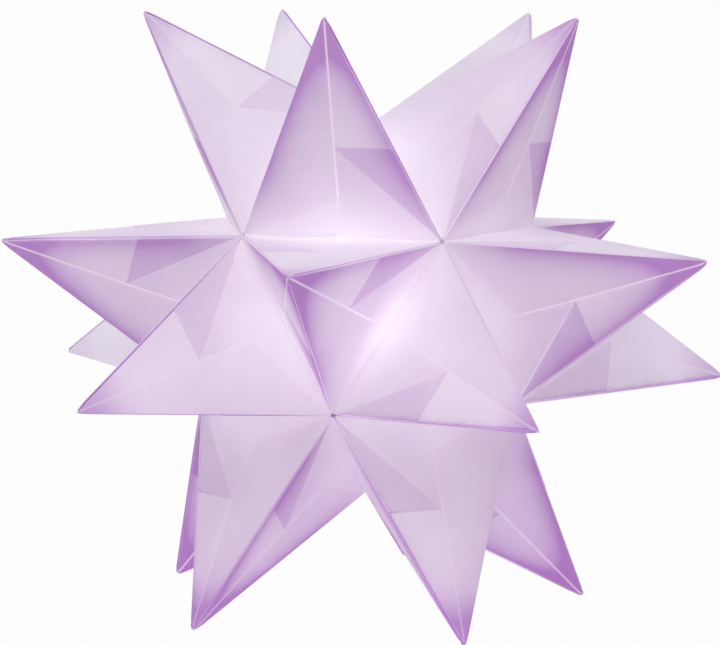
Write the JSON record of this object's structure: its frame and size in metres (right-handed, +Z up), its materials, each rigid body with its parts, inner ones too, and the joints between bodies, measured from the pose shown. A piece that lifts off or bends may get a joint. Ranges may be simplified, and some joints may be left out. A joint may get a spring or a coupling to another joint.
{
  "type": "folded paper star lantern",
  "caption": "Lilac folded-paper star with pointed spikes all round, made of interlocked units and lit from inside by a small battery lamp.",
  "frame": {"origin": "centre of the star, where the axes of all its spikes meet", "axes": "+Z up through the junction that the lamp hangs from, opposite the junction between the five lowest spikes; X through two opposite side spikes; -Y is the side that faces the viewer"},
  "size_m": [0.3088, 0.2936, 0.251],
  "materials": {
    "lilac_paper": "matte, thin and translucent",
    "white_plastic": "satin moulded",
    "black_plastic": "matte moulded",
    "grey_plastic": "matte moulded",
    "frosted_plastic": "frosted, lit from behind",
    "clear_plastic": "clear gloss",
    "cell_steel": "brushed",
    "spring_steel": "plated",
    "wire": "bright drawn",
    "board": "solder resist",
    "led_resin": "clear resin, lit"
  },
  "bodies": {
    "star": {"top_unit_1": "lilac_paper", "top_unit_2": "lilac_paper", "top_unit_3": "lilac_paper", "top_unit_4": "lilac_paper", "top_unit_5": "lilac_paper", "upper_unit_1": "lilac_paper", "upper_unit_2": "lilac_paper", "upper_unit_3": "lilac_paper", "upper_unit_4": "lilac_paper", "upper_unit_5": "lilac_paper", "belt_unit_1": "lilac_paper", "belt_unit_2": "lilac_paper", "belt_unit_3": "lilac_paper", "belt_unit_4": "lilac_paper", "belt_unit_5": "lilac_paper", "belt_unit_6": "lilac_paper", "belt_unit_7": "lilac_paper", "belt_unit_8": "lilac_paper", "belt_unit_9": "lilac_paper", "belt_unit_10": "lilac_paper", "lower_unit_1": "lilac_paper", "lower_unit_2": "lilac_paper", "lower_unit_3": "lilac_paper", "lower_unit_4": "lilac_paper", "lower_unit_5": "lilac_paper", "bottom_unit_1": "lilac_paper", "bottom_unit_2": "lilac_paper", "bottom_unit_3": "lilac_paper", "bottom_unit_4": "lilac_paper", "bottom_unit_5": "lilac_paper", "lamp_housing": "white_plastic", "battery_cover": "white_plastic", "battery_holder": "black_plastic", "coin_cell_lower": "cell_steel", "coin_cell_upper": "cell_steel", "contact_spring": "spring_steel", "circuit_board": "board", "led": "led_resin", "diffuser_dome": "frosted_plastic", "hanger_wire": "wire", "retaining_disc": "clear_plastic"},
    "switch": {"switch_slider": "grey_plastic"}
  },
  "joints": [
    {"name": "lamp_switch", "type": "slide", "parent": "star", "child": "switch", "axis": [0, 0, 1], "range_m": [-0.002, 0]}
  ]
}
